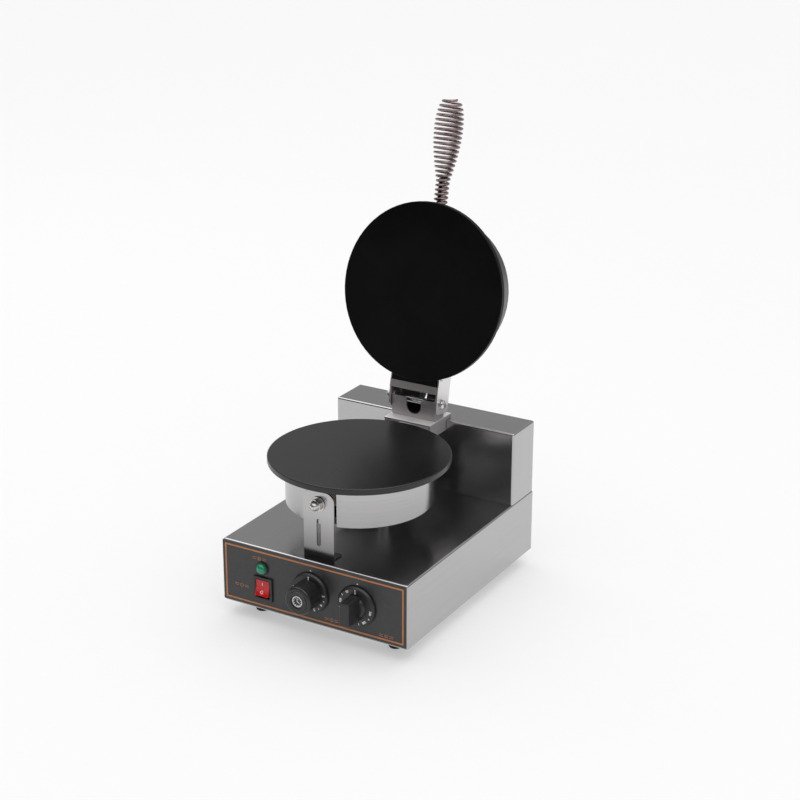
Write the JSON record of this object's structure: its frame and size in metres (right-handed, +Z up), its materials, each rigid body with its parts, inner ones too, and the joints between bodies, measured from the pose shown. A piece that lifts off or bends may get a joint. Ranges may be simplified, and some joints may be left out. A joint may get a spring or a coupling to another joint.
{
  "type": "waffle cone maker",
  "caption": "Electric waffle cone maker: folded steel base with timer, thermostat and switch, and two round baking plates on a rear hinge with a wound wire handle.",
  "frame": {"origin": "on the surface the feet stand on, under the middle of the machine's box with the lid open", "axes": "+Z up, +Y from the control panel towards the rear, +X to the right of someone facing the control panel"},
  "size_m": [0.244, 0.3506, 0.5588],
  "materials": {
    "brushed_steel": "brushed stainless sheet",
    "plate_coating": "black non-stick coated cast plate",
    "panel_black": "satin black printed panel film on a thin plate",
    "bright_steel": "bright plated steel",
    "rubber": "black rubber",
    "black_plastic": "black moulded phenolic, satin",
    "red_plastic": "glossy translucent red",
    "green_lens": "glossy green lens",
    "mineral_wool": "mineral wool board",
    "galvanised": "dull plated steel",
    "ceramic": "off-white ceramic",
    "copper": "drawn copper"
  },
  "bodies": {
    "base": {"base_casing": "brushed_steel", "bottom_plate": "galvanised", "rear_panel": "brushed_steel", "rear_box": "brushed_steel", "control_panel": "panel_black", "foot_front_left": "rubber", "foot_front_right": "rubber", "foot_rear_left": "rubber", "foot_rear_right": "rubber", "lower_plate": "plate_coating", "lower_ring": "brushed_steel", "lower_heating_element": "galvanised", "lower_insulation": "mineral_wool", "lower_heat_pan": "galvanised", "front_bracket": "brushed_steel", "front_bracket_stud": "galvanised", "front_bracket_washer": "bright_steel", "front_bracket_cap_nut": "bright_steel", "rear_bracket": "brushed_steel", "rear_bracket_stud": "galvanised", "rear_bracket_washer": "bright_steel", "rear_bracket_cap_nut": "bright_steel", "hinge_shelf": "brushed_steel", "shelf_screw_left": "bright_steel", "shelf_screw_right": "bright_steel", "hinge_base_bracket": "brushed_steel", "hinge_pin": "bright_steel", "hinge_nut": "bright_steel", "hinge_washer_left": "bright_steel", "hinge_washer_right": "bright_steel", "lower_conduit": "galvanised", "rear_conduit": "galvanised", "timer_body": "galvanised", "thermostat_body": "ceramic", "thermostat_capillary": "copper", "lamp_lens": "green_lens", "lamp_body": "black_plastic", "switch_housing": "black_plastic", "terminal_block": "ceramic", "cable_inlet": "black_plastic"},
    "lid": {"upper_plate": "plate_coating", "upper_cover": "brushed_steel", "upper_heating_element": "galvanised", "upper_insulation": "mineral_wool", "lid_bracket": "brushed_steel", "lid_bracket_screw_left": "bright_steel", "lid_bracket_screw_right": "bright_steel", "handle_stud": "bright_steel", "handle_nut_inside": "bright_steel", "handle_nut_outside": "bright_steel", "handle_coil": "bright_steel", "upper_conduit": "galvanised", "upper_conduit_gland": "black_plastic"},
    "timer_dial": {"timer_knob": "black_plastic", "timer_shaft": "bright_steel"},
    "thermostat_dial": {"thermostat_knob": "black_plastic", "thermostat_shaft": "bright_steel"},
    "rocker": {"switch_rocker": "red_plastic"}
  },
  "joints": [
    {"name": "lid_hinge", "type": "hinge", "parent": "base", "child": "lid", "pos_m": [0, 0.086, 0.2115], "axis": [1, 0, 0], "range_deg": [0, 101.9]},
    {"name": "timer_turn", "type": "hinge", "parent": "base", "child": "timer_dial", "pos_m": [-0.002, -0.145, 0.0575], "axis": [0, -1, 0], "range_deg": [0, 300]},
    {"name": "thermostat_turn", "type": "hinge", "parent": "base", "child": "thermostat_dial", "pos_m": [0.059, -0.145, 0.0565], "axis": [0, -1, 0], "range_deg": [0, 300]},
    {"name": "rocker_tilt", "type": "hinge", "parent": "base", "child": "rocker", "pos_m": [-0.066, -0.141, 0.0455], "axis": [1, 0, 0], "range_deg": [0, 20]}
  ]
}
